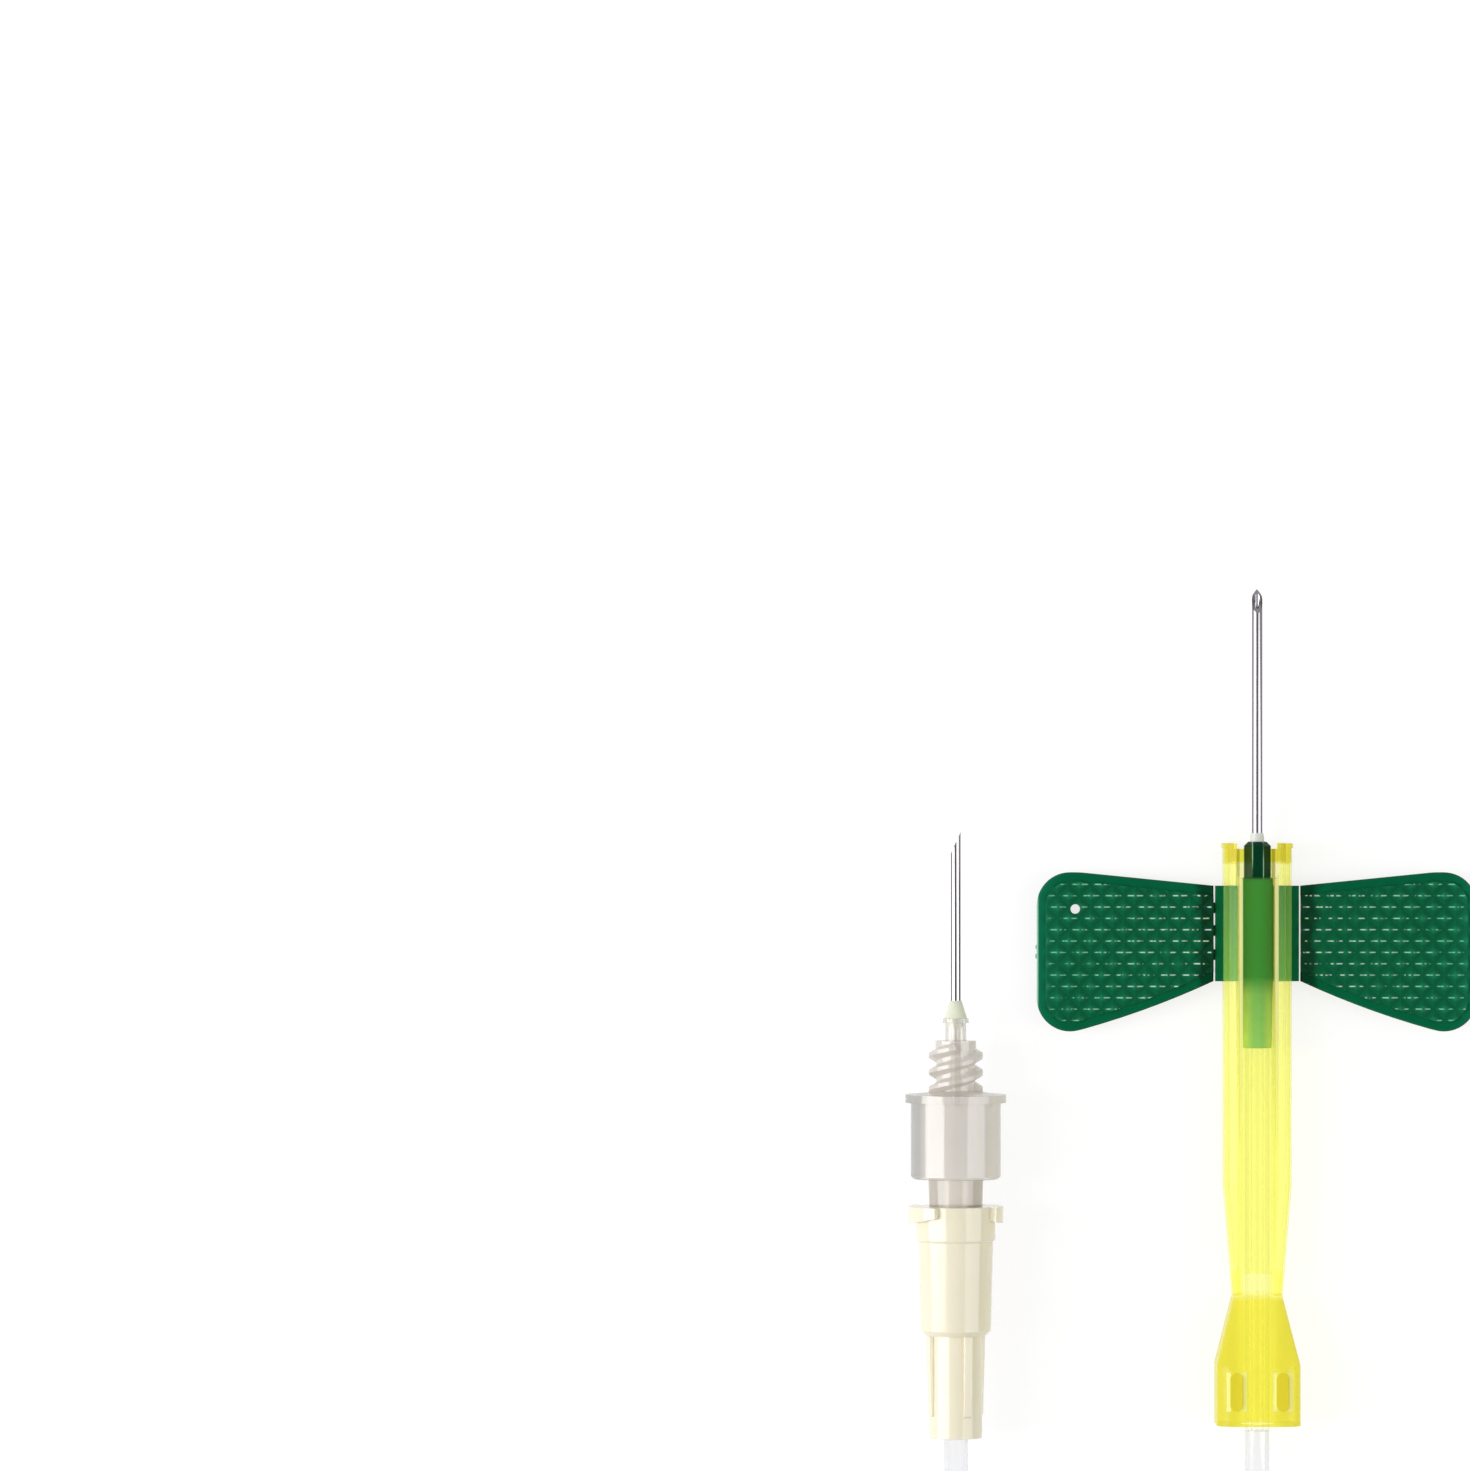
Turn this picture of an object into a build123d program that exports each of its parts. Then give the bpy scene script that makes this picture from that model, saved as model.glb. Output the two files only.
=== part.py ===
from build123d import *
import os
from math import atan2, ceil, cos, hypot, pi, radians, sin, tan

# Winged blood collection set, in millimetres: a steel needle bonded into a green
# hub with two folding wings, a yellow shield that slides forward over the needle,
# clear tubing wound into a coil, and a connector whose rear needle part pulls out.
# It lies on a surface at Z = 0. +Y points the way the needle points, +Z is up,
# and the origin is under the middle of the needle end's own box.

os.makedirs("parts", exist_ok=True)

# Clearances
bond_gap = 0.02          # radial gap of glued and pressed joints
slide_gap = 0.05         # radial gap of sliding fits
through_all = 20.0       # long enough for any cut to pass right through

# Needle
needle_tip_y = 33.02
needle_radius = 0.41     # 21 gauge
needle_bore_radius = 0.255
needle_rear_y = 3.4
bevel_length = 1.9
lancet_length = 0.85
lancet_roll = 38.0       # degrees, each side of the main bevel

# Wing hub: nose, body, tail and web are one moulding
hub_axis_z = 2.2
nose_front_y = 13.2
nose_flat_radius = 1.04  # from the axis to each of the eight flats
nose_chamfer = 0.33
hub_shoulder_y = 10.35
hub_radius = 1.22
hub_body_rear_y = 2.27
tail_rear_y = -2.98
tail_end_radius = 1.12
cup_mouth_radius = 0.7
cup_floor_radius = 0.5
cup_depth = 0.9
hub_flow_radius = 0.4
tube_socket_depth = 5.1
web_front_y = 9.74
web_rear_y = 2.24
web_mid_z = 1.8
web_thickness = 0.6
hinge_x = 3.35
hinge_gap = 0.06         # half the gap that the thin hinge skin spans

# Adhesive at the nose
adhesive_front_y = 13.88
adhesive_front_radius = 0.5
adhesive_brim_y = 12.95
adhesive_brim_radius = 0.6

# Wings
wing_reach = 17.28       # from the middle to the outer edge
wing_front_y = 10.79
wing_front_level = 3.38      # length of the front edge that runs straight across
wing_front_blend = 8.0
wing_rear_corner_y = -2.44
wing_rear_arc_inset = 3.68   # from the outer edge to the rear edge's arc
wing_rear_arc_y = -1.52
wing_rear_arc_sag = 0.22     # how far the arc bows forward of its chord
wing_corner_radius = 2.6
wing_edge_bevel = 0.15
wing_rim = 0.72
knurl_height = 0.34
knurl_row = 0.89         # between rows of points
knurl_column = 1.73      # between points in a row
knurl_flat = 0.06        # width left flat on each point
knurl_floor = 0.02       # the grooves stop this far above the wing's face
knurl_point_x = 11.29    # one of the points, from the middle
knurl_point_y = 8.96
wing_hole_inset = 3.01   # from the outer edge
wing_hole_y = 7.91
wing_hole_radius = 0.375

# Safety shield
shield_front_y = 13.07
shield_width = 5.3
shield_height = 4.4
shield_wall = 0.45
shield_round = 1.3
shield_bottom_round = 0.7
shield_straight_rear_y = -13.7
hollow_rear_y = -20.6
waist_y = -22.45
waist_width = 3.88
grip_front_y = -27.75
grip_rear_y = -32.47
grip_width = 6.56
grip_height = 5.3
spout_length = 0.55
spout_radius = 1.13
lip_width = 0.09         # how far the front lip stands out
lip_length = 0.35
slot_front_y = 11.6
slot_rear_y = -22.43
slot_gap = 0.12          # above and below the web
notch_half_width = 1.72
notch_corner = 0.36
notch_straight_y = 10.85
sill_set_back = 0.46
sill_length = 0.92
sill_height = 0.14
guide_rib_thickness = 0.27
guide_rib_sink = 0.1     # how far the ribs reach into the top and bottom walls
tail_room_rear_y = -28.6     # the tail reaches here when the shield is forward
tube_bore_gap = 0.04
grip_rib_x = 1.8
grip_rib_y = -29.75
grip_rib_length = 2.9
grip_rib_width = 0.92
grip_rib_height = 0.2
grip_rib_flank = 0.35    # width of the ribs' sloping flanks

# Tubing
tube_radius = 0.95
tube_bore_radius = 0.5
tube_floor_z = 0.95

# Connector: rear needle, threaded adapter and tubing socket, on an axis of their own
luer_x = -23.7
flange_radius = 3.95
luer_axis_z = flange_radius
rear_tip_y = 14.0
rear_needle_radius = 0.38
rear_bore_radius = 0.2
rear_needle_base_y = -7.5
rear_bevel_length = 1.7
rear_adhesive_front_y = 0.78
rear_adhesive_rear_y = -0.62
rear_adhesive_front_radius = 0.46
rear_adhesive_rear_radius = 0.91
rear_adhesive_plug = 0.7
rear_adhesive_plug_radius = 0.6
nose_lip_radius = 1.02
nose_lip_length = 0.34
nose_radius = 0.82
thread_front_y = -2.35
thread_rear_y = -6.75    # it runs out in the flange
thread_collar_length = 0.75
thread_collar_radius = 1.59
thread_root_radius = 1.52
thread_crest_radius = 2.12
thread_pitch = 1.32
thread_starts = 2
thread_root_width = 1.0
thread_crest_width = 0.3
thread_sink = 0.05       # how far the ridges reach into the core
flange_front_y = -6.56
flange_thickness = 0.62
flange_dish_radius = 3.3
flange_dish_rise = 0.3
adapter_radius = 3.52
adapter_rear_y = -13.15
adapter_rim_bevel = 0.2
adapter_wall = 0.7
adapter_floor_y = -8.6
adapter_rib_count = 4
adapter_rib_thickness = 0.5
luer_mouth_y = -15.3
luer_mouth_radius = 2.08
luer_taper = 0.03        # the 6 per cent cone, as radius per length
luer_insertion = 5.5
luer_bore_radius = 0.9
lug_radius = 3.72
lug_length = 1.3
lug_arc = 95.0           # degrees
lug_near_edge = 28.0     # degrees from straight up to the lug's near edge
lug_helix_drop = 0.45
barrel_front_radius = 3.1
barrel_step_y = -17.9
barrel_radius = 2.93
barrel_rear_radius = 2.76
barrel_rear_y = -25.4
barrel_bevel = 0.4
stem_radius = 2.07
stem_rear_y = -33.4
stem_rib_front_radius = 2.4
stem_rib_rear_radius = 2.22
stem_rib_rear_y = -31.6
stem_rib_rear_bevel = 0.17
stem_rib_width = 0.62
stem_rib_turn = 24.0     # degrees from straight up to the first rib
stem_rib_count = 4
luer_cavity_extra = 1.0  # free length past the tip of the male cone
luer_flow_radius = 0.6
luer_socket_depth = 3.0

# Coil of spare tubing, behind the object
coil_x = -11.85
coil_y = -57.0
coil_outer_turn = 12.2
coil_inner_turn = 8.3
coil_top_turn = 12.0

# The tubing's route between the shield and the coil, and between the coil and the
# connector: (x, y, z) of each corner
needle_lead_route = [
    (0.0, grip_rear_y - spout_length, hub_axis_z),
    (0.0, -38.6, 2.15),
    (0.1, -48.0, tube_floor_z),
    (coil_x + coil_outer_turn, coil_y, tube_floor_z),
]
luer_lead_route = [
    (coil_x - coil_top_turn, coil_y, 3 * tube_radius),
    (-23.4, -46.9, 1.0),
    (luer_x, -36.4, luer_axis_z),
    (luer_x, stem_rear_y + luer_socket_depth, luer_axis_z),
]

needle_axis = Axis((0, 0, hub_axis_z), (0, 1, 0))
luer_axis = Axis((luer_x, 0, luer_axis_z), (0, 1, 0))
needle_plane = Plane((0, 0, hub_axis_z))
luer_plane = Plane((luer_x, 0, luer_axis_z))
web_top_z = web_mid_z + web_thickness / 2
web_bottom_z = web_mid_z - web_thickness / 2


def across(y, x=0.0, z=0.0):
    """The plane across the needle's direction at y: local x is X, local y is Z."""
    return Plane(origin=(x, y, z), x_dir=(1, 0, 0), z_dir=(0, -1, 0))


def turned(plane, axis, corners, mode=Mode.ADD):
    """A solid of revolution from (radius, y) corners in the plane of the axis."""
    with BuildSketch(plane) as half_section:
        with BuildLine():
            Polyline(*corners, close=True)
        make_face()
    revolve(half_section.sketch, axis=axis, mode=mode)


def ground_point(plane, tip, radius, length, extra=0.5):
    """Grinds a slanted face: from the shaft's low side at the tip to its high side."""
    rise_per_length = 2 * radius / length
    with BuildSketch(plane) as wedge:
        with BuildLine():
            Polyline(
                (tip + extra, -radius - extra * rise_per_length),
                (tip - length - extra, radius + extra * rise_per_length),
                (tip + extra, radius + extra * rise_per_length),
                close=True,
            )
        make_face()
    extrude(wedge.sketch, amount=2 * radius, both=True, mode=Mode.SUBTRACT)


# Needle: a steel tube with a main bevel on top and two lancet facets
with BuildPart() as needle_cannula:
    with BuildSketch(across(needle_tip_y, z=hub_axis_z)):
        Circle(needle_radius)
        Circle(needle_bore_radius, mode=Mode.SUBTRACT)
    extrude(amount=needle_tip_y - needle_rear_y)
    for roll, length in ((0.0, bevel_length), (-lancet_roll, lancet_length), (lancet_roll, lancet_length)):
        rolled = Plane(
            origin=(0, 0, hub_axis_z),
            x_dir=(0, 1, 0),
            z_dir=(cos(radians(roll)), 0, sin(radians(roll))),
        )
        low_side = needle_radius if roll == 0 else needle_radius * cos(radians(roll))
        ground_point(rolled, needle_tip_y, low_side, length)
needle_cannula.part.label = "needle_cannula"

# Adhesive: a cone round the needle, seated in the nose's cup
with BuildPart() as needle_adhesive:
    shaft = needle_radius + bond_gap
    cup_floor_y = nose_front_y - cup_depth
    turned(needle_plane, needle_axis, [
        (shaft, adhesive_front_y),
        (adhesive_front_radius, adhesive_front_y),
        (adhesive_brim_radius, adhesive_brim_y),
        (cup_floor_radius - bond_gap, cup_floor_y + bond_gap),
        (shaft, cup_floor_y + bond_gap),
    ])
needle_adhesive.part.label = "needle_adhesive"

# Wing hub: eight-sided nose, round body, tapered tail and the web to the hinges
with BuildPart() as wing_hub:
    with BuildSketch(across(nose_front_y, z=hub_axis_z)):
        RegularPolygon(radius=nose_flat_radius, side_count=8, major_radius=False, rotation=22.5)
    extrude(amount=nose_front_y - hub_shoulder_y)
    chamfer(wing_hub.faces().sort_by(Axis.Y)[-1].edges(), nose_chamfer)
    turned(needle_plane, needle_axis, [
        (0, hub_shoulder_y),
        (hub_radius, hub_shoulder_y),
        (hub_radius, hub_body_rear_y),
        (tail_end_radius, tail_rear_y),
        (0, tail_rear_y),
    ])
    with BuildSketch(Plane.XY.offset(web_bottom_z)):
        with Locations((0, (web_front_y + web_rear_y) / 2)):
            Rectangle(2 * (hinge_x - hinge_gap), web_front_y - web_rear_y)
    extrude(amount=web_thickness)
    turned(needle_plane, needle_axis, [
        (0, nose_front_y),
        (cup_mouth_radius, nose_front_y),
        (cup_floor_radius, nose_front_y - cup_depth),
        (0, nose_front_y - cup_depth),
    ], mode=Mode.SUBTRACT)
    with BuildSketch(across(nose_front_y, z=hub_axis_z)):
        Circle(needle_radius + bond_gap)
    extrude(amount=nose_front_y - needle_rear_y, mode=Mode.SUBTRACT)
    with BuildSketch(across(tail_rear_y, z=hub_axis_z)):
        Circle(hub_flow_radius)
    extrude(amount=tail_rear_y - needle_rear_y, mode=Mode.SUBTRACT)
    with BuildSketch(across(tail_rear_y, z=hub_axis_z)):
        Circle(tube_radius + bond_gap)
    extrude(amount=-tube_socket_depth, mode=Mode.SUBTRACT)
wing_hub.part.label = "wing_hub"


def wing_plan():
    """One wing's plan on the +X side, with its outer corners rounded."""
    root_x = hinge_x + hinge_gap
    arc_start = (wing_reach - wing_rear_arc_inset, wing_rear_arc_y)
    front_bend = (wing_reach - wing_front_level, wing_front_y)
    with BuildSketch(mode=Mode.PRIVATE) as plan:
        with BuildLine():
            Polyline(
                (root_x, web_rear_y),
                (root_x, web_front_y),
                front_bend,
                (wing_reach, wing_front_y),
                (wing_reach, wing_rear_corner_y),
                arc_start,
            )
            SagittaArc(arc_start, (root_x, web_rear_y), wing_rear_arc_sag)
        make_face()
        outer = plan.vertices().group_by(Axis.X)[-1]
        fillet(outer, wing_corner_radius)
        fillet(plan.vertices().sort_by_distance(front_bend)[0], wing_front_blend)
    return plan.sketch


# Knurl: a field of small four-sided points, left between two sets of crossing V grooves
knurl_side = hypot(knurl_column / 2, knurl_row)
knurl_pitch = knurl_column * knurl_row / knurl_side
knurl_angle = atan2(knurl_row, knurl_column / 2)
groove_count = 2 * ceil(wing_reach / knurl_pitch) + 1
groove_half_width = (knurl_pitch - knurl_flat) / 2

with BuildPart() as knurl_field:
    with BuildSketch(Plane.XY.offset(web_top_z - wing_edge_bevel)):
        add(wing_plan())
        offset(amount=-wing_rim, kind=Kind.INTERSECTION, mode=Mode.REPLACE)
        with Locations((hinge_x + hinge_gap + wing_rim, (web_front_y + web_rear_y) / 2)):
            Rectangle(2 * wing_rim, web_front_y - web_rear_y - 2 * wing_rim)
    extrude(amount=wing_edge_bevel + knurl_height)
    for side in (1, -1):
        along = Vector(cos(knurl_angle), side * sin(knurl_angle), 0)
        beside = Vector(-along.Y, along.X, 0)
        between_points = Vector(knurl_point_x, knurl_point_y, web_top_z) + beside * (knurl_pitch / 2)
        with BuildSketch(Plane(origin=between_points, x_dir=beside, z_dir=along)):
            with GridLocations(knurl_pitch, 0, groove_count, 1):
                Polygon(
                    (0, knurl_floor),
                    (groove_half_width, knurl_height),
                    (-groove_half_width, knurl_height),
                    align=None,
                )
        extrude(amount=2 * through_all, both=True, mode=Mode.SUBTRACT)

# Wings: thin soft leaves with a smooth rim round the knurl; the left one has a small hole
with BuildPart() as wing_right:
    with BuildSketch(Plane.XY.offset(web_bottom_z)):
        add(wing_plan())
    extrude(amount=web_thickness)
    chamfer(wing_right.faces().sort_by(Axis.Z)[-1].edges(), wing_edge_bevel)
    add(knurl_field.part)
wing_right.part.label = "wing_right"

with BuildPart() as wing_left:
    add(mirror(wing_right.part, about=Plane.YZ, mode=Mode.PRIVATE))
    with BuildSketch(Plane.XY):
        with Locations((wing_hole_inset - wing_reach, wing_hole_y)):
            Circle(wing_hole_radius)
    extrude(amount=through_all, mode=Mode.SUBTRACT)
wing_left.part.label = "wing_left"


def shield_section(y, width, height=shield_height, wall=0.0):
    """A section of the shield, standing on the ground; wall pulls it in."""
    with BuildSketch(across(y)) as section:
        with Locations((0, height / 2)):
            Rectangle(width - 2 * wall, height - 2 * wall)
        fillet(section.vertices().group_by(Axis.Y)[-1], shield_round - wall)
        fillet(section.vertices().group_by(Axis.Y)[0], shield_bottom_round - wall)
    return section.sketch


def leaned(section, shift, length, rise=0.0):
    """The section drawn out rearward along a slanting line."""
    with BuildPart(mode=Mode.PRIVATE) as run:
        direction = Vector(shift, -length, rise)
        extrude(section, amount=direction.length, dir=direction)
    return run.part


def narrowed(section, shift, length):
    """The section drawn out rearward while both sides come in by shift."""
    return leaned(section, shift, length) & leaned(section, -shift, length)


# Safety shield: one moulding, slotted along both sides for the web
with BuildPart() as safety_shield:
    straight_length = shield_front_y - shield_straight_rear_y
    taper_length = shield_straight_rear_y - waist_y
    taper_shift = (shield_width - waist_width) / 2
    flare_length = waist_y - grip_front_y
    flare_shift = (grip_width - waist_width) / 2
    grip_rise = grip_height - shield_height
    extrude(shield_section(shield_front_y, shield_width), amount=straight_length)
    extrude(shield_section(shield_front_y, shield_width + 2 * lip_width), amount=lip_length)
    add(narrowed(shield_section(shield_straight_rear_y, shield_width), taper_shift, taper_length))
    waist = shield_section(waist_y, waist_width)
    for shift in (flare_shift, -flare_shift):
        add(leaned(waist, shift, flare_length))
        add(leaned(waist, shift, flare_length, grip_rise))
    with BuildSketch(across(waist_y)) as waist_middle:
        Rectangle(waist_width - 2 * shield_round, shield_height, align=(Align.CENTER, Align.MIN))
    with BuildSketch(across(grip_front_y)) as grip_middle:
        Rectangle(grip_width - 2 * shield_round, grip_height, align=(Align.CENTER, Align.MIN))
    loft([waist_middle.sketch, grip_middle.sketch], ruled=True)
    extrude(shield_section(grip_front_y, grip_width, grip_height), amount=grip_front_y - grip_rear_y)
    with BuildSketch(across(grip_rear_y, z=hub_axis_z)):
        Circle(spout_radius)
    extrude(amount=spout_length)

    # The hollow that the hub slides in
    hollow_length = shield_straight_rear_y - hollow_rear_y
    hollow_shift = taper_shift * hollow_length / taper_length
    hollow_front = shield_section(shield_front_y, shield_width, wall=shield_wall)
    hollow_middle = shield_section(shield_straight_rear_y, shield_width, wall=shield_wall)
    extrude(hollow_front, amount=straight_length, mode=Mode.SUBTRACT)
    add(narrowed(hollow_middle, hollow_shift, hollow_length), mode=Mode.SUBTRACT)
    with BuildSketch(across(hollow_rear_y, z=hub_axis_z)):
        Circle(hub_radius + slide_gap)
    extrude(amount=hollow_rear_y - tail_room_rear_y, mode=Mode.SUBTRACT)
    with BuildSketch(across(tail_room_rear_y, z=hub_axis_z)):
        Circle(tube_radius + tube_bore_gap)
    extrude(amount=through_all, mode=Mode.SUBTRACT)

    # Guide ribs on both sides of the hub, from the top wall to the bottom wall
    rib_x = hub_radius + slide_gap + guide_rib_thickness / 2
    rib_foot_z = shield_wall - guide_rib_sink
    with BuildSketch(Plane.XY.offset(rib_foot_z)):
        with Locations(*[(side * rib_x, (hub_shoulder_y + hollow_rear_y) / 2) for side in (1, -1)]):
            Rectangle(guide_rib_thickness, hub_shoulder_y - hollow_rear_y)
    extrude(amount=shield_height - 2 * rib_foot_z)

    # Slots for the web through both side walls
    with BuildSketch(Plane.XY.offset(web_bottom_z - slot_gap)):
        with Locations((0, (slot_front_y + slot_rear_y) / 2)):
            Rectangle(through_all, slot_front_y - slot_rear_y)
    extrude(amount=web_thickness + 2 * slot_gap, mode=Mode.SUBTRACT)

    # Notch in the top wall's front, with chamfered inner corners
    with BuildSketch(Plane.XY.offset(hub_axis_z)):
        with BuildLine():
            Polyline(
                (-notch_half_width, shield_front_y + lip_length),
                (-notch_half_width, notch_straight_y),
                (notch_corner - notch_half_width, hub_shoulder_y),
                (notch_half_width - notch_corner, hub_shoulder_y),
                (notch_half_width, notch_straight_y),
                (notch_half_width, shield_front_y + lip_length),
                close=True,
            )
        make_face()
    extrude(amount=shield_height, mode=Mode.SUBTRACT)

    # The bottom wall's front edge is set back, and has a low sill
    with BuildSketch(Plane.XY):
        with Locations((0, shield_front_y - sill_set_back)):
            Rectangle(2 * notch_half_width, through_all, align=(Align.CENTER, Align.MIN))
    extrude(amount=web_bottom_z - slot_gap, mode=Mode.SUBTRACT)
    with BuildSketch(Plane.XY.offset(shield_wall / 2)):
        with Locations((0, shield_front_y - sill_set_back)):
            Rectangle(2 * notch_half_width, sill_length, align=(Align.CENTER, Align.MAX))
    extrude(amount=shield_wall / 2 + sill_height)

    # Two grip ribs on top of the rear end
    for side in (1, -1):
        foot = (grip_height - grip_rib_height, grip_rib_flank)
        crown = (grip_height + grip_rib_height, 0)
        for level, spread in (foot, crown):
            with BuildSketch(Plane.XY.offset(level)):
                with Locations((side * grip_rib_x, grip_rib_y)):
                    SlotOverall(grip_rib_length + 2 * spread, grip_rib_width + 2 * spread, rotation=90)
        loft(ruled=True)
safety_shield.part.label = "safety_shield"

# Tubing inside the shield, straight from its socket in the hub to the spout's end
with BuildPart() as tube_in_shield:
    with BuildSketch(across(tail_rear_y + tube_socket_depth, z=hub_axis_z)):
        Circle(tube_radius)
        Circle(tube_bore_radius, mode=Mode.SUBTRACT)
    extrude(amount=tail_rear_y + tube_socket_depth - (grip_rear_y - spout_length))
tube_in_shield.part.label = "tube_in_shield"


def bend_radii(route):
    """A radius for each corner of a route: as large as its two runs allow."""
    points = [Vector(*point) for point in route]
    radii = []
    for before, corner, after in zip(points, points[1:], points[2:]):
        arriving = corner - before
        leaving = after - corner
        half_turn = radians(arriving.get_angle(leaving)) / 2
        radii.append(0.45 * min(arriving.length, leaving.length) / tan(half_turn))
    return radii


def tube_along(route):
    """Sweeps the tubing's section along straight runs joined by tangent arcs."""
    with BuildLine() as path:
        FilletPolyline(*route, radius=bend_radii(route))
    with BuildSketch(Plane(origin=path.line @ 0, z_dir=path.line % 0)) as section:
        Circle(tube_radius)
    sweep(section.sketch, path=path.line)
    return path.wire().length


with BuildPart() as tube_lead_needle:
    needle_lead_length = tube_along(needle_lead_route)
tube_lead_needle.part.label = "tube_lead_needle"

with BuildPart() as tube_lead_luer:
    luer_lead_length = tube_along(luer_lead_route)
tube_lead_luer.part.label = "tube_lead_luer"

# The coil's outer shape: two layers of turns, one on the other
with BuildPart() as tube_coil:
    with BuildSketch():
        with Locations((coil_x, coil_y)):
            Circle(coil_outer_turn + tube_radius)
            Circle(coil_inner_turn - tube_radius, mode=Mode.SUBTRACT)
    extrude(amount=4 * tube_radius)
tube_coil.part.label = "tube_coil"


def male_cone_radius(y):
    """The luer cone's radius at y; it grows towards the adapter's body."""
    return luer_mouth_radius + luer_taper * (y - luer_mouth_y)


# Rear needle, for the tube holder
with BuildPart() as rear_needle:
    with BuildSketch(across(rear_tip_y, luer_x, luer_axis_z)):
        Circle(rear_needle_radius)
        Circle(rear_bore_radius, mode=Mode.SUBTRACT)
    extrude(amount=rear_tip_y - rear_needle_base_y)
    facing_left = Plane(origin=(luer_x, 0, luer_axis_z), x_dir=(0, 1, 0), z_dir=(0, 0, 1))
    ground_point(facing_left, rear_tip_y, rear_needle_radius, rear_bevel_length)
rear_needle.part.label = "rear_needle"

with BuildPart() as rear_adhesive:
    shaft = rear_needle_radius + bond_gap
    turned(luer_plane, luer_axis, [
        (shaft, rear_adhesive_front_y),
        (rear_adhesive_front_radius, rear_adhesive_front_y),
        (rear_adhesive_rear_radius, rear_adhesive_rear_y),
        (rear_adhesive_plug_radius, rear_adhesive_rear_y),
        (rear_adhesive_plug_radius, rear_adhesive_rear_y - rear_adhesive_plug),
        (shaft, rear_adhesive_rear_y - rear_adhesive_plug),
    ])
rear_adhesive.part.label = "rear_adhesive"

# One ridge of the holder thread, right-handed; the adapter carries one for each start
with BuildPart() as thread_ridge:
    with BuildLine() as helix:
        Helix(
            pitch=thread_pitch * thread_starts,
            height=thread_front_y - thread_rear_y - thread_root_width,
            radius=thread_root_radius,
            center=(luer_x, thread_front_y - thread_root_width / 2, luer_axis_z),
            direction=(0, -1, 0),
        )
    ridge_start = helix.line @ 0
    outward = ridge_start - Vector(luer_x, ridge_start.Y, luer_axis_z)
    with BuildSketch(Plane(origin=ridge_start, x_dir=outward, z_dir=helix.line % 0)) as ridge_section:
        with BuildLine():
            Polyline(
                (-thread_sink, -thread_root_width / 2),
                (thread_crest_radius - thread_root_radius, -thread_crest_width / 2),
                (thread_crest_radius - thread_root_radius, thread_crest_width / 2),
                (-thread_sink, thread_root_width / 2),
                close=True,
            )
        make_face()
    sweep(ridge_section.sketch, path=helix.line, is_frenet=True)

# Luer adapter: nose, two-start holder thread, flange, ribbed body and male cone
with BuildPart() as luer_adapter:
    cone_tip_y = luer_mouth_y - luer_insertion
    turned(luer_plane, luer_axis, [
        (0, rear_adhesive_rear_y),
        (nose_lip_radius, rear_adhesive_rear_y),
        (nose_lip_radius, rear_adhesive_rear_y - nose_lip_length),
        (nose_radius, rear_adhesive_rear_y - nose_lip_length),
        (nose_radius, thread_front_y),
        (thread_collar_radius, thread_front_y),
        (thread_collar_radius, thread_front_y - thread_collar_length),
        (thread_root_radius, thread_front_y - thread_collar_length),
        (thread_root_radius, flange_front_y + flange_dish_rise),
        (flange_dish_radius, flange_front_y),
        (flange_radius, flange_front_y),
        (flange_radius, flange_front_y - flange_thickness),
        (adapter_radius, flange_front_y - flange_thickness),
        (adapter_radius, adapter_rear_y + adapter_rim_bevel),
        (adapter_radius - adapter_rim_bevel, adapter_rear_y),
        (male_cone_radius(adapter_rear_y), adapter_rear_y),
        (male_cone_radius(cone_tip_y), cone_tip_y),
        (0, cone_tip_y),
    ])
    moat_inner = male_cone_radius(adapter_rear_y)
    moat_outer = adapter_radius - adapter_wall
    with BuildSketch(across(adapter_rear_y, luer_x, luer_axis_z)):
        Circle(moat_outer)
        Circle(moat_inner, mode=Mode.SUBTRACT)
        with PolarLocations(0, adapter_rib_count, start_angle=45):
            Rectangle(
                2 * moat_outer,
                adapter_rib_thickness,
                align=(Align.MIN, Align.CENTER),
                mode=Mode.SUBTRACT,
            )
    extrude(amount=adapter_rear_y - adapter_floor_y, mode=Mode.SUBTRACT)
    for start in range(thread_starts):
        add(thread_ridge.part.rotate(luer_axis, 360 * start / thread_starts))
    with BuildSketch(across(cone_tip_y, luer_x, luer_axis_z)):
        Circle(luer_bore_radius)
    extrude(amount=cone_tip_y - adapter_floor_y, mode=Mode.SUBTRACT)
    with BuildSketch(across(adapter_floor_y, luer_x, luer_axis_z)):
        Circle(rear_needle_radius + bond_gap)
    extrude(amount=-through_all, mode=Mode.SUBTRACT)
    with BuildSketch(across(rear_adhesive_rear_y, luer_x, luer_axis_z)):
        Circle(rear_adhesive_plug_radius + bond_gap)
    extrude(amount=rear_adhesive_plug + bond_gap, mode=Mode.SUBTRACT)
luer_adapter.part.label = "luer_adapter"

# Tubing socket: a female luer with two lugs, a smooth barrel and a ribbed stem
with BuildPart() as luer_lugs:
    for near_edge in (90 + lug_near_edge, 270 + lug_near_edge):
        with BuildSketch(across(luer_mouth_y, luer_x, luer_axis_z)):
            with BuildLine():
                rim = CenterArc((0, 0), lug_radius, near_edge, lug_arc)
                Polyline(rim @ 1, (0, 0), rim @ 0)
            make_face()
    extrude(amount=lug_length)
    slope = lug_helix_drop / (lug_radius * (1 - sin(radians(lug_near_edge))))
    for side in (1, -1):
        with BuildSketch(Plane(origin=(luer_x, luer_mouth_y - lug_length, luer_axis_z))):
            with BuildLine():
                Polyline(
                    (side * lug_radius, 0),
                    (0, slope * lug_radius),
                    (0, -lug_length),
                    (side * lug_radius, -lug_length),
                    close=True,
                )
            make_face()
    extrude(amount=through_all, both=True, mode=Mode.SUBTRACT)

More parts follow.
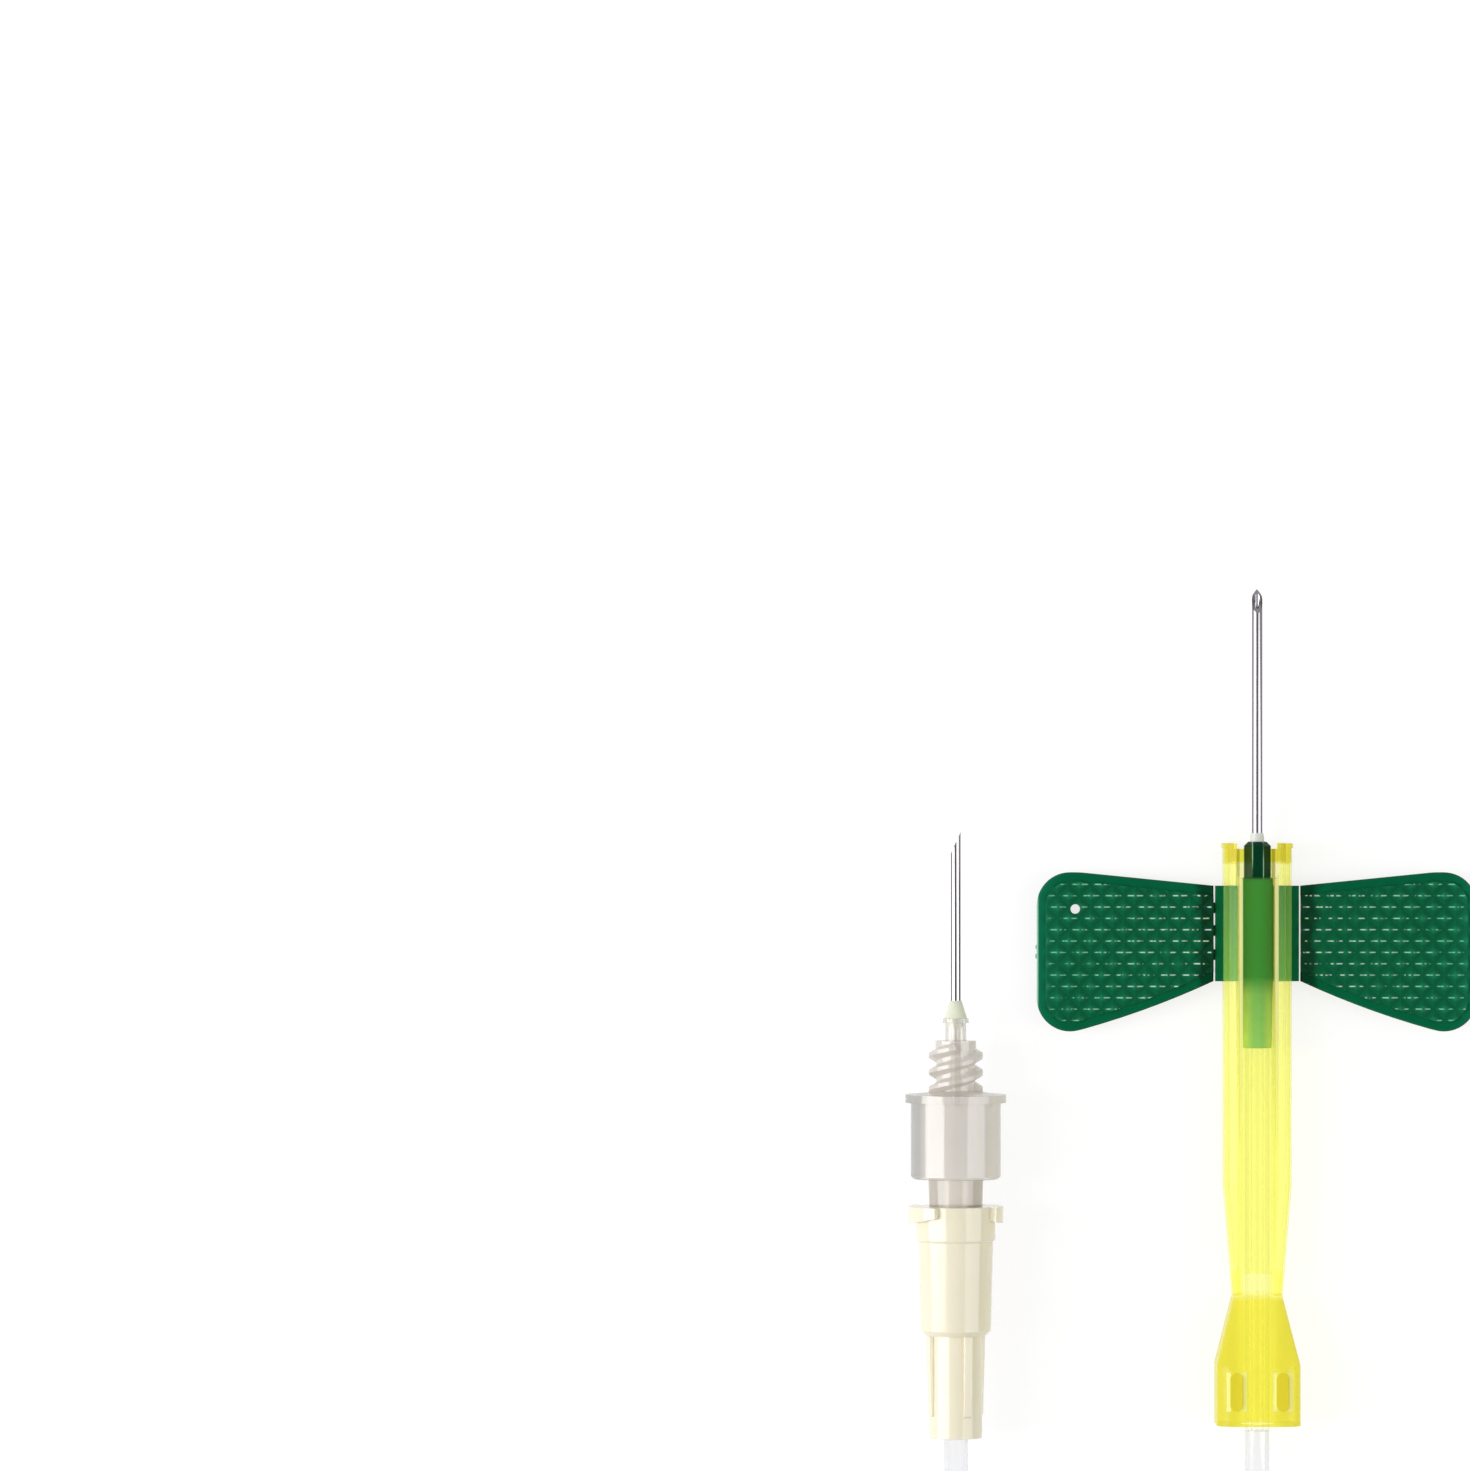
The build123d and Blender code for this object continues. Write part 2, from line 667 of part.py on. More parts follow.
with BuildPart() as female_luer:
    turned(luer_plane, luer_axis, [
        (0, luer_mouth_y),
        (barrel_front_radius, luer_mouth_y),
        (barrel_front_radius, barrel_step_y),
        (barrel_radius, barrel_step_y - (barrel_front_radius - barrel_radius)),
        (barrel_rear_radius, barrel_rear_y + barrel_bevel),
        (barrel_rear_radius - barrel_bevel, barrel_rear_y),
        (stem_radius, barrel_rear_y),
        (stem_radius, stem_rear_y),
        (0, stem_rear_y),
    ])
    for index in range(stem_rib_count):
        turn = radians(stem_rib_turn + 360 * index / stem_rib_count)
        rib_plane = Plane(
            origin=(luer_x, 0, luer_axis_z),
            x_dir=(sin(turn), 0, cos(turn)),
            z_dir=(-cos(turn), 0, sin(turn)),
        )
        with BuildSketch(rib_plane):
            with BuildLine():
                Polyline(
                    (stem_radius - bond_gap, barrel_rear_y),
                    (stem_rib_front_radius, barrel_rear_y),
                    (stem_rib_rear_radius, stem_rib_rear_y),
                    (stem_radius - bond_gap, stem_rib_rear_y - stem_rib_rear_bevel),
                    close=True,
                )
            make_face()
        extrude(amount=stem_rib_width / 2, both=True)
    add(luer_lugs.part)
    cavity_rear_y = cone_tip_y - luer_cavity_extra
    turned(luer_plane, luer_axis, [
        (0, luer_mouth_y),
        (male_cone_radius(luer_mouth_y) + bond_gap, luer_mouth_y),
        (male_cone_radius(cavity_rear_y) + bond_gap, cavity_rear_y),
        (0, cavity_rear_y),
    ], mode=Mode.SUBTRACT)
    with BuildSketch(across(cavity_rear_y, luer_x, luer_axis_z)):
        Circle(luer_flow_radius)
    extrude(amount=cavity_rear_y - stem_rear_y, mode=Mode.SUBTRACT)
    with BuildSketch(across(stem_rear_y, luer_x, luer_axis_z)):
        Circle(tube_radius + bond_gap)
    extrude(amount=-luer_socket_depth, mode=Mode.SUBTRACT)
female_luer.part.label = "female_luer"

pieces = [
    needle_cannula, needle_adhesive, wing_hub, wing_left, wing_right, safety_shield,
    tube_in_shield, tube_lead_needle, tube_coil, tube_lead_luer,
    female_luer, luer_adapter, rear_adhesive, rear_needle,
]
for piece in pieces:
    export_step(piece.part, f"parts/{piece.part.label}.step")

for name, route in (("needle lead", needle_lead_route), ("luer lead", luer_lead_route)):
    print(name, "radii", [round(radius, 1) for radius in bend_radii(route)])
print("lead lengths", round(needle_lead_length, 1), round(luer_lead_length, 1))
for lead, length in ((tube_lead_needle, needle_lead_length), (tube_lead_luer, luer_lead_length)):
    print(lead.part.label, "volume", round(lead.part.volume, 3), "section times length",
          round(pi * tube_radius**2 * length, 3))
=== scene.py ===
from math import cos, pi, sin

import bmesh
import bpy
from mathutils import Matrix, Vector


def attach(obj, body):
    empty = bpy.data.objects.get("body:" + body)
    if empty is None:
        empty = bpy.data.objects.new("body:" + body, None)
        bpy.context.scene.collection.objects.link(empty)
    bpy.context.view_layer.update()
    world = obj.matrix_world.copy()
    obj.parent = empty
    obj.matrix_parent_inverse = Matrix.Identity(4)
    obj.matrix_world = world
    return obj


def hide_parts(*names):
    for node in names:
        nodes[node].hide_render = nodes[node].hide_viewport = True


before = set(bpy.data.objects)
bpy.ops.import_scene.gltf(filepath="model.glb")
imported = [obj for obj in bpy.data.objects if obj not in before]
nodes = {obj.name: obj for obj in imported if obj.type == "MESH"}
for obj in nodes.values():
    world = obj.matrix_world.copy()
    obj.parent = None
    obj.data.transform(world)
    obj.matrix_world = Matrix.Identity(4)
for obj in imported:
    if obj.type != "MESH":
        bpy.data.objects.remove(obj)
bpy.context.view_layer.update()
scene = bpy.context.scene
scene.view_settings.view_transform = "Standard"
scene.cycles.transparent_max_bounces = 32    # the clear pieces lie many walls deep
MM = 0.001

# Camera: straight above the middle of the photo, far enough away to look almost flat.
# The photo has 12.75 pixels to a millimetre, and the needle's axis at its pixel column 1257.5.
PHOTO_WIDTH, PHOTO_HEIGHT = 1470, 1471
PIXELS_PER_MM = 12.75
AXIS_COLUMN, ORIGIN_ROW = 1257.5, 1010.0
CAMERA_DISTANCE = 0.62
SHARP_LEVEL = 0.003      # the height at which the photo's scale holds
SENSOR_WIDTH = 36.0
camera_data = bpy.data.cameras.new("camera")
camera_data.sensor_width = SENSOR_WIDTH
camera_data.lens = SENSOR_WIDTH * CAMERA_DISTANCE / (PHOTO_WIDTH / PIXELS_PER_MM * MM)
camera_data.clip_end = 20.0
camera = bpy.data.objects.new("camera", camera_data)
camera.location = (
    (PHOTO_WIDTH / 2 - AXIS_COLUMN) / PIXELS_PER_MM * MM,
    (ORIGIN_ROW - PHOTO_HEIGHT / 2) / PIXELS_PER_MM * MM,
    CAMERA_DISTANCE + SHARP_LEVEL,
)
scene.collection.objects.link(camera)
scene.camera = camera

# Places on the part that the materials go by, in metres. An X is measured outward from
# a piece's middle, and a pair says where a change of look begins and is complete.
HUB_Z = 0.0022
CONNECTOR_X, CONNECTOR_Z = -0.0237, 0.00395

NEEDLE_SHADED_SIDES_X = (0.00024, 0.00031)
NEEDLE_BONDED_Y = (-0.0002, -0.0008)

# The knurl's points: rows along X, every second row set over by half a column
KNURL_ROW, KNURL_COLUMN = 0.00089, 0.00173
KNURL_POINT = (0.01129, 0.00896)
KNURL_FOOT = 0.00214
KNURL_SHEEN_REACH = (0.00044, 0.00004)
KNURL_HIGHLIGHT_WIDTH = (0.075, 0.03)                            # as a share of a row
KNURL_HIGHLIGHT_START, KNURL_HIGHLIGHT_END = (0.04, 0.09), (0.38, 0.3)     # as a share of a column
WING_ROOT_SHADE_X = (0.0057, 0.0051)
WING_END_X = (0.0150, 0.0172)
WING_SHEEN_X = (0.006, 0.014)
WING_HIGHLIGHTS_PALE_X = (0.015, 0.005)
WING_RIM_HIGHLIGHT_X = (0.01716, 0.0172)

NOSE_RIDGE = 0.00043      # from the axis to the edges of the nose's top facet
RIDGE_HIGHLIGHT_WIDTH, RIDGE_HIGHLIGHT_Y = (0.00006, 0.00002), (0.0101, 0.0105)
COVERED_X, COVERED_Y = (0.00268, 0.00262), (0.0105, 0.0101)
WEB_X = (0.00122, 0.00128)
WEB_PALE_Y = (0.0096, 0.0035)
NOSE_Y = (0.0096, 0.0105)
TAIL_Y, TAIL_END_Y = (0.0026, 0.0012), (0.0012, -0.0022)
TAIL_SIDES_X = (0.00035, 0.00085)

GRIP_SOLID_Y, GRIP_Y = (-0.0204, -0.0207), (-0.0222, -0.0228)
GRIP_MIDDLE_X = (0.0018, 0.0011)
GRIP_BORE = (0.00134, 0.0013)
EARS_Y = (0.0114, 0.0117)
GUIDE_RIB_INNER_X, GUIDE_RIB_OUTER_X = (0.00122, 0.0013), (0.00158, 0.0015)
GUIDE_RIB_Y = (-0.012, 0.004)
SHIELD_SIDES_X = (0.0018, 0.0024)
GRIP_RIB_X = 0.0018
GRIP_RIB_TOP_Z = (0.00540, 0.00548)
BESIDE_RIB_INNER, BESIDE_RIB_OUTER = (0.00040, 0.00046), (0.00084, 0.00076)
BESIDE_RIB_REAR_Y, BESIDE_RIB_FRONT_Y = (-0.0315, -0.0312), (-0.0280, -0.0283)
BESIDE_RIB_Z = (0.0047, 0.0049)

CONE_Y, CONE_PAINTED_LIGHT_X = (-0.01310, -0.01318), (0.00105, 0.0007)
MOAT_RADIUS, MOAT_Y = (0.0034, 0.0033), (-0.00712, -0.00722)
MALE_BORE_RADIUS, MALE_BORE_Y = (0.00094, 0.00092), (-0.0084, -0.0085)
NEEDLE_SEAT_RADIUS = (0.00066, 0.00064)
ADAPTER_NOSE_Y = (-0.0024, -0.0023)
ADAPTER_SHADED_LEFT_X = (CONNECTOR_X - 0.0022, CONNECTOR_X - 0.0029)    # painted shade down the left side, on the part's own X


class Shader:
    """A material under construction: adds nodes and joins their sockets."""

    def __init__(self, name):
        self.material = bpy.data.materials.new(name)
        self.material.use_nodes = True
        self.tree = self.material.node_tree
        self.tree.nodes.clear()
        self.output = self.add("ShaderNodeOutputMaterial")
        self.place = self.add("ShaderNodeTexCoord").outputs["Object"]

    def fill(self, socket, value):
        """Joins a socket to another node's, or gives it a plain value."""
        if isinstance(value, bpy.types.NodeSocket):
            self.tree.links.new(value, socket)
        else:
            socket.default_value = value

    def add(self, kind, **settings):
        """Adds a node; settings named after a socket fill it, others are its properties."""
        node = self.tree.nodes.new(kind)
        for key, value in settings.items():
            key = key.replace("_", " ") if key.replace("_", " ") in node.inputs else key
            if key in node.inputs:
                self.fill(node.inputs[key], value)
            else:
                setattr(node, key, value)
        return node

    def noise(self, scale, stretch=(1, 1, 1), detail=3.0):
        """Noise of so many bumps to a metre, stretched along an axis where its factor is small."""
        mapping = self.add("ShaderNodeMapping", Vector=self.place, Scale=stretch)
        texture = self.add("ShaderNodeTexNoise", Vector=mapping.outputs[0], Scale=scale, Detail=detail)
        return texture.outputs["Fac"]

    def spread(self, factor, low, high):
        """Maps a factor from 0..1 to low..high."""
        return self.add("ShaderNodeMapRange", Value=factor, To_Min=low, To_Max=high).outputs[0]

    def step(self, value, start, end):
        """0 at start, 1 at end and beyond; start may be above end."""
        node = self.add(
            "ShaderNodeMapRange", Value=value, From_Min=start, From_Max=end, To_Min=0.0, To_Max=1.0)
        return node.outputs[0]

    def math(self, operation, first, second=0.0):
        node = self.add("ShaderNodeMath", operation=operation)
        self.fill(node.inputs[0], first)
        self.fill(node.inputs[1], second)
        return node.outputs[0]

    def product(self, first, *others):
        for other in others:
            first = self.math("MULTIPLY", first, other)
        return first

    def largest(self, first, *others):
        for other in others:
            first = self.math("MAXIMUM", first, other)
        return first

    def reach(self, across, up):
        """The length of the way that goes so far across and so far up."""
        squares = self.math("ADD", self.product(across, across), self.product(up, up))
        return self.math("SQRT", squares)

    def along(self, axis):
        """The place along one axis, in metres."""
        return self.add("ShaderNodeSeparateXYZ", Vector=self.place).outputs[axis]

    def off(self, value, middle):
        """How far a value is from a middle one, to either side."""
        return self.math("ABSOLUTE", self.math("SUBTRACT", value, middle))

    def outward(self, middle=0.0):
        """The distance along X from a middle."""
        return self.off(self.along("X"), middle)

    def from_axis(self, x, z):
        """The distance from an axis that runs along Y through (x, z)."""
        across = self.math("SUBTRACT", self.along("X"), x)
        up = self.math("SUBTRACT", self.along("Z"), z)
        return self.reach(across, up)

    def facing(self, blend=0.35):
        """0 where a surface is seen face on, 1 where it is seen edge on."""
        return self.add("ShaderNodeLayerWeight", Blend=blend).outputs["Facing"]

    def blend(self, factor, first, second):
        """Mixes two colours."""
        node = self.add("ShaderNodeMix", data_type="RGBA")
        for index, value in ((0, factor), (6, first), (7, second)):
            self.fill(node.inputs[index], value)
        return node.outputs[2]

    def mix(self, factor, first, second):
        """Mixes two surfaces."""
        node = self.add("ShaderNodeMixShader", Fac=factor)
        self.fill(node.inputs[1], first)
        self.fill(node.inputs[2], second)
        return node.outputs[0]

    def bump(self, height, distance, strength=1.0, normal=None):
        node = self.add("ShaderNodeBump", Height=height, Distance=distance, Strength=strength)
        if normal:
            self.fill(node.inputs["Normal"], normal)
        return node.outputs[0]

    def finish(self, surface):
        self.tree.links.new(surface, self.output.inputs["Surface"])
        return self.material


def srgb(red, green, blue):
    """A colour as written on screen, 0 to 255, as Blender's linear one."""
    def linear(value):
        value /= 255.0
        return value / 12.92 if value <= 0.04045 else ((value + 0.055) / 1.055) ** 2.4
    return (linear(red), linear(green), linear(blue), 1.0)


CLEAR = (1.0, 1.0, 1.0, 1.0)
EDGE = 0.00005           # radius to which moulded edges look rounded


def steel():
    """Drawn stainless steel: fine lines and uneven polish, with painted shade down its sides; pale
    where it is bonded in.
    """
    s = Shader("drawn_steel")
    lines = s.noise(9000, (1, 0.02, 1), 2.0)
    patches = s.noise(600, (1, 0.3, 1))
    # painted shade: both needles are darker along their sides
    painted_dark_sides = s.step(s.math("MINIMUM", s.outward(), s.outward(CONNECTOR_X)), *NEEDLE_SHADED_SIDES_X)
    bonded = s.step(s.along("Y"), *NEEDLE_BONDED_Y)
    color = s.blend(patches, srgb(168, 165, 170), srgb(184, 181, 186))
    color = s.blend(painted_dark_sides, color, srgb(110, 107, 113))
    color = s.blend(bonded, color, srgb(226, 224, 219))
    body = s.add(
        "ShaderNodeBsdfPrincipled",
        Base_Color=color,
        Metallic=s.spread(bonded, 1.0, 0.15),
        Roughness=s.spread(lines, 0.06, 0.12),
        Normal=s.bump(lines, 0.000003, 0.3),
    )
    return s.finish(body.outputs[0])


def gloss(s, color, roughness, grain=900.0, edge=EDGE, **settings):
    """The glossy surface of moulded plastic: uneven gloss, a faint ripple and rounded edges."""
    ripple = s.noise(grain)
    rounded = s.add("ShaderNodeBevel", samples=6, Radius=edge).outputs[0]
    return s.add(
        "ShaderNodeBsdfPrincipled",
        Base_Color=color,
        Roughness=s.spread(ripple, *roughness),
        Normal=s.bump(ripple, 0.000004, 0.4, rounded),
        **settings,
    ).outputs[0]


def see_through(s, tint, surface, share, roughness=0.08, shine=1.0, face_on=0.045):
    """Lets light through with a tint; share is how much of the surface itself shows.

    Over both lies the sheen of a clear face: face_on seen square on, and stronger towards its edge.
    """
    through = s.add("ShaderNodeBsdfTransparent", Color=tint).outputs[0]
    polish = s.add("ShaderNodeBsdfGlossy", Color=CLEAR, Roughness=roughness).outputs[0]
    grazing = s.math("POWER", s.facing(0.5), 5.0)
    mirrored = s.product(s.spread(grazing, face_on, 0.8), shine)
    return s.finish(s.mix(mirrored, s.mix(share, through, surface), polish))


def plastic(name, dark, light, roughness, specular=0.5):
    """Moulded plastic in a slightly cloudy colour, with some light scattered inside it."""
    s = Shader(name)
    color = s.blend(s.noise(220, detail=2.0), dark, light)
    return s.finish(gloss(
        s, color, roughness,
        Subsurface_Weight=0.3, Subsurface_Scale=0.0006, Subsurface_Radius=(1.0, 0.8, 0.5),
        Specular_IOR_Level=specular))


def knurl_marks(s):
    """Two masks of painted light: highlights on each knurl point's left and right ridges, and a sheen
    round the point.
    """
    rows = s.math("DIVIDE", s.math("SUBTRACT", s.along("Y"), KNURL_POINT[1]), KNURL_ROW)
    row = s.math("ROUND", rows)
    off_row = s.off(rows, row)
    half = s.product(s.math("FLOORED_MODULO", row, 2.0), 0.5)
    columns = s.math("DIVIDE", s.math("SUBTRACT", s.outward(), KNURL_POINT[0]), KNURL_COLUMN)
    columns = s.math("ADD", columns, half)
    off_point = s.off(columns, s.math("ROUND", columns))
    raised = s.step(s.along("Z"), KNURL_FOOT, KNURL_FOOT + 0.00002)

    # painted highlights along the ridges to either side of each point, left out in patches
    line = s.product(s.step(off_row, *KNURL_HIGHLIGHT_WIDTH), s.step(off_point, *KNURL_HIGHLIGHT_START))
    highlight_patches = s.step(s.noise(2600, detail=1.0), 0.38, 0.52)
    ridge_highlights = s.product(line, s.step(off_point, *KNURL_HIGHLIGHT_END), raised, highlight_patches)

    # a painted sheen round each point
    across = s.product(off_point, KNURL_COLUMN)
    up = s.product(off_row, KNURL_ROW * 1.2)
    glow = s.product(s.step(s.reach(across, up), *KNURL_SHEEN_REACH), raised)
    return ridge_highlights, glow


def wing_soft():
    """The wings' soft green, with painted shade beside the hinge, painted highlights on the knurl
    ridges, a painted sheen round the points and a painted highlight along the outer rim.
    """
    s = Shader("wing_soft")
    outward = s.outward()
    # painted shade along the wing's root beside the hinge, with an uneven edge
    uneven = s.product(s.noise(700, detail=2.0), 0.0016)
    root_shade = s.step(s.math("ADD", outward, uneven), *WING_ROOT_SHADE_X)
    cloud = s.noise(220, detail=2.0)
    ridge_highlights, glow = knurl_marks(s)
    # the painted sheen is stronger further out along the wing
    sheen_share = s.product(glow, s.spread(s.step(outward, *WING_SHEEN_X), 0.2, 0.5))
    color = s.blend(cloud, srgb(0, 93, 58), srgb(0, 104, 66))
    color = s.blend(s.step(outward, *WING_END_X), color, srgb(10, 114, 78))
    color = s.blend(sheen_share, color, srgb(46, 150, 110))
    color = s.blend(s.spread(root_shade, 0.0, 0.75), color, srgb(0, 44, 26))
    # a painted highlight along the wing's outer rim
    color = s.blend(s.spread(s.step(outward, *WING_RIM_HIGHLIGHT_X), 0.0, 0.75), color, srgb(170, 222, 198))
    highlight_color = s.blend(s.step(outward, *WING_HIGHLIGHTS_PALE_X), srgb(120, 214, 170), srgb(214, 246, 226))
    color = s.blend(s.spread(ridge_highlights, 0.0, 0.85), color, highlight_color)
    return s.finish(gloss(s, color, (0.14, 0.24), edge=0.00009, Specular_IOR_Level=0.1))


def hub_green():
    """The hub's green: dark and thick at the nose, paler where light comes through in the shield."""
    s = Shader("hub_green")
    along = s.along("Y")
    outward = s.outward()
    covered = s.product(s.step(outward, *COVERED_X), s.step(along, *COVERED_Y))

    web = s.step(outward, *WEB_X)
    web_color = s.blend(s.step(along, *WEB_PALE_Y), srgb(30, 146, 92), srgb(84, 178, 98))
    tail = s.product(s.step(along, *TAIL_Y), s.spread(s.step(along, *TAIL_END_Y), 0.68, 1.0))
    tail = s.product(tail, s.spread(s.noise(900, detail=4.0), 0.75, 1.2))
    tail_color = s.blend(s.step(outward, *TAIL_SIDES_X), srgb(150, 216, 192), srgb(200, 238, 218))
    inner = s.blend(tail, s.blend(web, srgb(20, 146, 86), web_color), tail_color)

    # painted highlights along the edges of the nose's top facet, in broken patches
    highlight_patches = s.step(s.noise(1500, (1, 0.3, 1)), 0.35, 0.6)
    nose_ridge_highlight = s.product(s.step(s.off(outward, NOSE_RIDGE), *RIDGE_HIGHLIGHT_WIDTH), highlight_patches, s.step(along, *RIDGE_HIGHLIGHT_Y))
    outer = s.blend(s.step(along, *NOSE_Y), srgb(0, 98, 60), srgb(0, 58, 38))
    outer = s.blend(nose_ridge_highlight, outer, srgb(150, 196, 166))

    roughness = (s.spread(covered, 0.1, 0.45), s.spread(covered, 0.16, 0.6))
    color = s.blend(covered, outer, inner)
    return s.finish(gloss(s, color, roughness, edge=0.00012, Specular_IOR_Level=0.14))


def shield_yellow():
    """Translucent yellow: clear along the body, deeper at the front ears and the solid grip."""
    s = Shader("shield_yellow")
    along = s.along("Y")
    outward = s.outward()
    height = s.along("Z")
    solid = s.step(along, *GRIP_SOLID_Y)
    bore = s.product(s.step(s.from_axis(0.0, HUB_Z), *GRIP_BORE), solid)
    grip = s.step(along, *GRIP_Y)
    thick = s.largest(grip, s.step(along, *EARS_Y))
    middle = s.step(outward, *GRIP_MIDDLE_X)
    guide_rib = s.product(
        s.step(outward, *GUIDE_RIB_INNER_X),
        s.step(outward, *GUIDE_RIB_OUTER_X),
        s.step(along, *GUIDE_RIB_Y),
    )
    off_rib = s.off(outward, GRIP_RIB_X)
    # painted highlight: the strips beside the grip's ribs are paler and show more of their own colour
    rib_flank_highlight = s.product(
        s.step(off_rib, *BESIDE_RIB_INNER),
        s.step(off_rib, *BESIDE_RIB_OUTER),
        s.step(along, *BESIDE_RIB_REAR_Y),
        s.step(along, *BESIDE_RIB_FRONT_Y),
        s.step(height, *BESIDE_RIB_Z),
    )
    rib_top = s.product(s.step(height, *GRIP_RIB_TOP_Z), grip)

    thick_tint = s.blend(middle, (0.955, 0.92, 0.3, 1.0), (0.998, 0.968, 0.34, 1.0))
    tint = s.blend(solid, (1.0, 1.0, 0.72, 1.0), (1.0, 0.998, 0.64, 1.0))
    tint = s.blend(bore, s.blend(thick, tint, thick_tint), CLEAR)

    color = s.blend(s.noise(240, detail=2.0), srgb(252, 248, 168), srgb(255, 253, 190))
    color = s.blend(thick, color, s.blend(middle, srgb(238, 226, 56), srgb(255, 248, 84)))
    color = s.blend(rib_flank_highlight, color, srgb(255, 254, 160))
    color = s.blend(rib_top, color, srgb(222, 200, 22))
    surface = gloss(s, color, (0.1, 0.18), Specular_IOR_Level=0.0)

    edge_share = s.product(s.facing(), s.spread(s.step(outward, *SHIELD_SIDES_X), 0.07, 0.24))
    share = s.largest(
        s.math("ADD", edge_share, s.spread(thick, 0.02, 0.16)),
        s.product(guide_rib, 0.75),
        s.product(rib_flank_highlight, 0.8),
        s.product(rib_top, 0.5),
    )
    clearer = s.spread(bore, 1.0, 0.1)
    return see_through(
        s, tint, surface, s.product(share, clearer),
        roughness=0.12, shine=s.product(clearer, 0.6), face_on=0.016)


def tube_clear(name, face_on, edge_on, tint=(0.985, 0.985, 0.99, 1.0), shine=1.0):
    """Clear tubing; face_on and edge_on say how much of its own surface shows."""
    s = Shader(name)
    color = s.blend(s.noise(240, detail=2.0), srgb(232, 234, 240), srgb(244, 245, 249))
    surface = gloss(s, color, (0.1, 0.18), Specular_IOR_Level=0.0)
    return see_through(s, tint, surface, s.spread(s.facing(), face_on, edge_on), shine=shine)


def adapter_frosted():
    """The adapter: a frosted body whose inside hardly shows, and a clear beige-grey cone."""
    s = Shader("adapter_frosted")
    along = s.along("Y")
    radius = s.from_axis(CONNECTOR_X, CONNECTOR_Z)
    cone = s.step(along, *CONE_Y)
    moat = s.product(
        s.step(radius, *MOAT_RADIUS), s.step(along, *MOAT_Y), s.math("SUBTRACT", 1.0, cone))
    male_bore = s.product(s.step(radius, *MALE_BORE_RADIUS), s.step(along, *MALE_BORE_Y))
    inside = s.largest(moat, male_bore, s.step(radius, *NEEDLE_SEAT_RADIUS))
    nose = s.step(along, *ADAPTER_NOSE_Y)

    # painted light: the cone is paler down its middle, over its bore, and darker to its sides
    painted_light_stripe = s.step(s.outward(CONNECTOR_X), *CONE_PAINTED_LIGHT_X)
    color = s.blend(s.noise(230, detail=3.0), srgb(225, 218, 209), srgb(239, 232, 223))
    # painted shade: the adapter is darker down its left side
    color = s.blend(s.step(s.along("X"), *ADAPTER_SHADED_LEFT_X), color, srgb(182, 181, 176))
    color = s.blend(cone, color, s.blend(painted_light_stripe, srgb(208, 199, 186), srgb(240, 232, 220)))
    surface = gloss(s, color, (0.2, 0.3), Specular_IOR_Level=0.0)

    tint = s.blend(cone, (0.985, 0.983, 0.978, 1.0), (0.95, 0.94, 0.925, 1.0))
    tint = s.blend(s.math("POWER", s.facing(), 3.0), tint, (0.62, 0.62, 0.61, 1.0))
    tint = s.blend(inside, tint, CLEAR)
    share = s.product(
        s.spread(s.facing(), 0.62, 0.66), s.spread(inside, 1.0, 0.04), s.spread(nose, 1.0, 0.6))
    return see_through(s, tint, surface, share, roughness=0.1, shine=s.spread(inside, 0.9, 0.1))


drawn_steel = steel()
wing_green = wing_soft()
tube_free = tube_clear("tube_clear", 0.12, 0.6)
tube_inside = tube_clear(
    "tube_inside", 0.016, 0.25, tint=(0.998, 0.998, 0.999, 1.0), shine=0.25)
luer_cream = plastic("luer_cream", srgb(248, 238, 212), srgb(253, 245, 221), (0.08, 0.14))
needle_glue = plastic("needle_glue", srgb(238, 241, 230), srgb(249, 249, 241), (0.25, 0.4))
rear_glue = plastic("rear_glue", srgb(232, 236, 208), srgb(242, 244, 222), (0.25, 0.4))

finishes = {
    "needle_cannula": drawn_steel,
    "rear_needle": drawn_steel,
    "needle_adhesive": needle_glue,
    "rear_adhesive": rear_glue,
    "wing_hub": hub_green(),
    "wing_left": wing_green,
    "wing_right": wing_green,
    "safety_shield": shield_yellow(),
    "tube_in_shield": tube_inside,
    "female_luer": luer_cream,
    "luer_adapter": adapter_frosted(),
}
for node, finish in finishes.items():
    mesh = nodes[node].data
    mesh.materials.clear()
    mesh.materials.append(finish)

# The free tubing, 305 mm long with its straight stretch in the shield: out of the
# shield's spout, down to the surface, three and a half turns in two layers, and up
# into the luer's stem. The points are in millimetres, and the middle of the coil and
# the turns are those of the CAD solids.
TUBE_RADIUS = 0.95
COIL_MIDDLE = (-11.85, -57.0)
OUTER_TURN, INNER_TURN, TOP_TURN = 12.2, 8.3, 12.0
LOW_TURNS, CLIMB_TURNS, HIGH_TURNS = 2.0, 0.25, 1.25
STEPS_PER_TURN = 20
FLOOR_LEVEL, UPPER_LEVEL = TUBE_RADIUS, 3 * TUBE_RADIUS
coil_points = []
total_turns = LOW_TURNS + CLIMB_TURNS + HIGH_TURNS
for step in range(int(total_turns * STEPS_PER_TURN) + 1):
    turns = step / STEPS_PER_TURN
    low_share = min(turns / LOW_TURNS, 1.0)
    climb_share = min(max((turns - LOW_TURNS) / CLIMB_TURNS, 0.0), 1.0)
    high_share = max((turns - LOW_TURNS - CLIMB_TURNS) / HIGH_TURNS, 0.0)
    radius = (
        OUTER_TURN + (INNER_TURN - OUTER_TURN) * low_share + (TOP_TURN - INNER_TURN) * high_share)
    coil_points.append((
        COIL_MIDDLE[0] + radius * cos(2 * pi * turns),
        COIL_MIDDLE[1] - radius * sin(2 * pi * turns),
        FLOOR_LEVEL + (UPPER_LEVEL - FLOOR_LEVEL) * climb_share,
    ))
tubing_points = [
    (0.0, -33.02, 2.2), (0.0, -38.6, 2.15), (0.1, -48.0, 0.95),
    *coil_points,
    (-23.4, -46.9, 1.0), (-23.7, -36.4, 3.95), (-23.7, -30.4, 3.95),
]


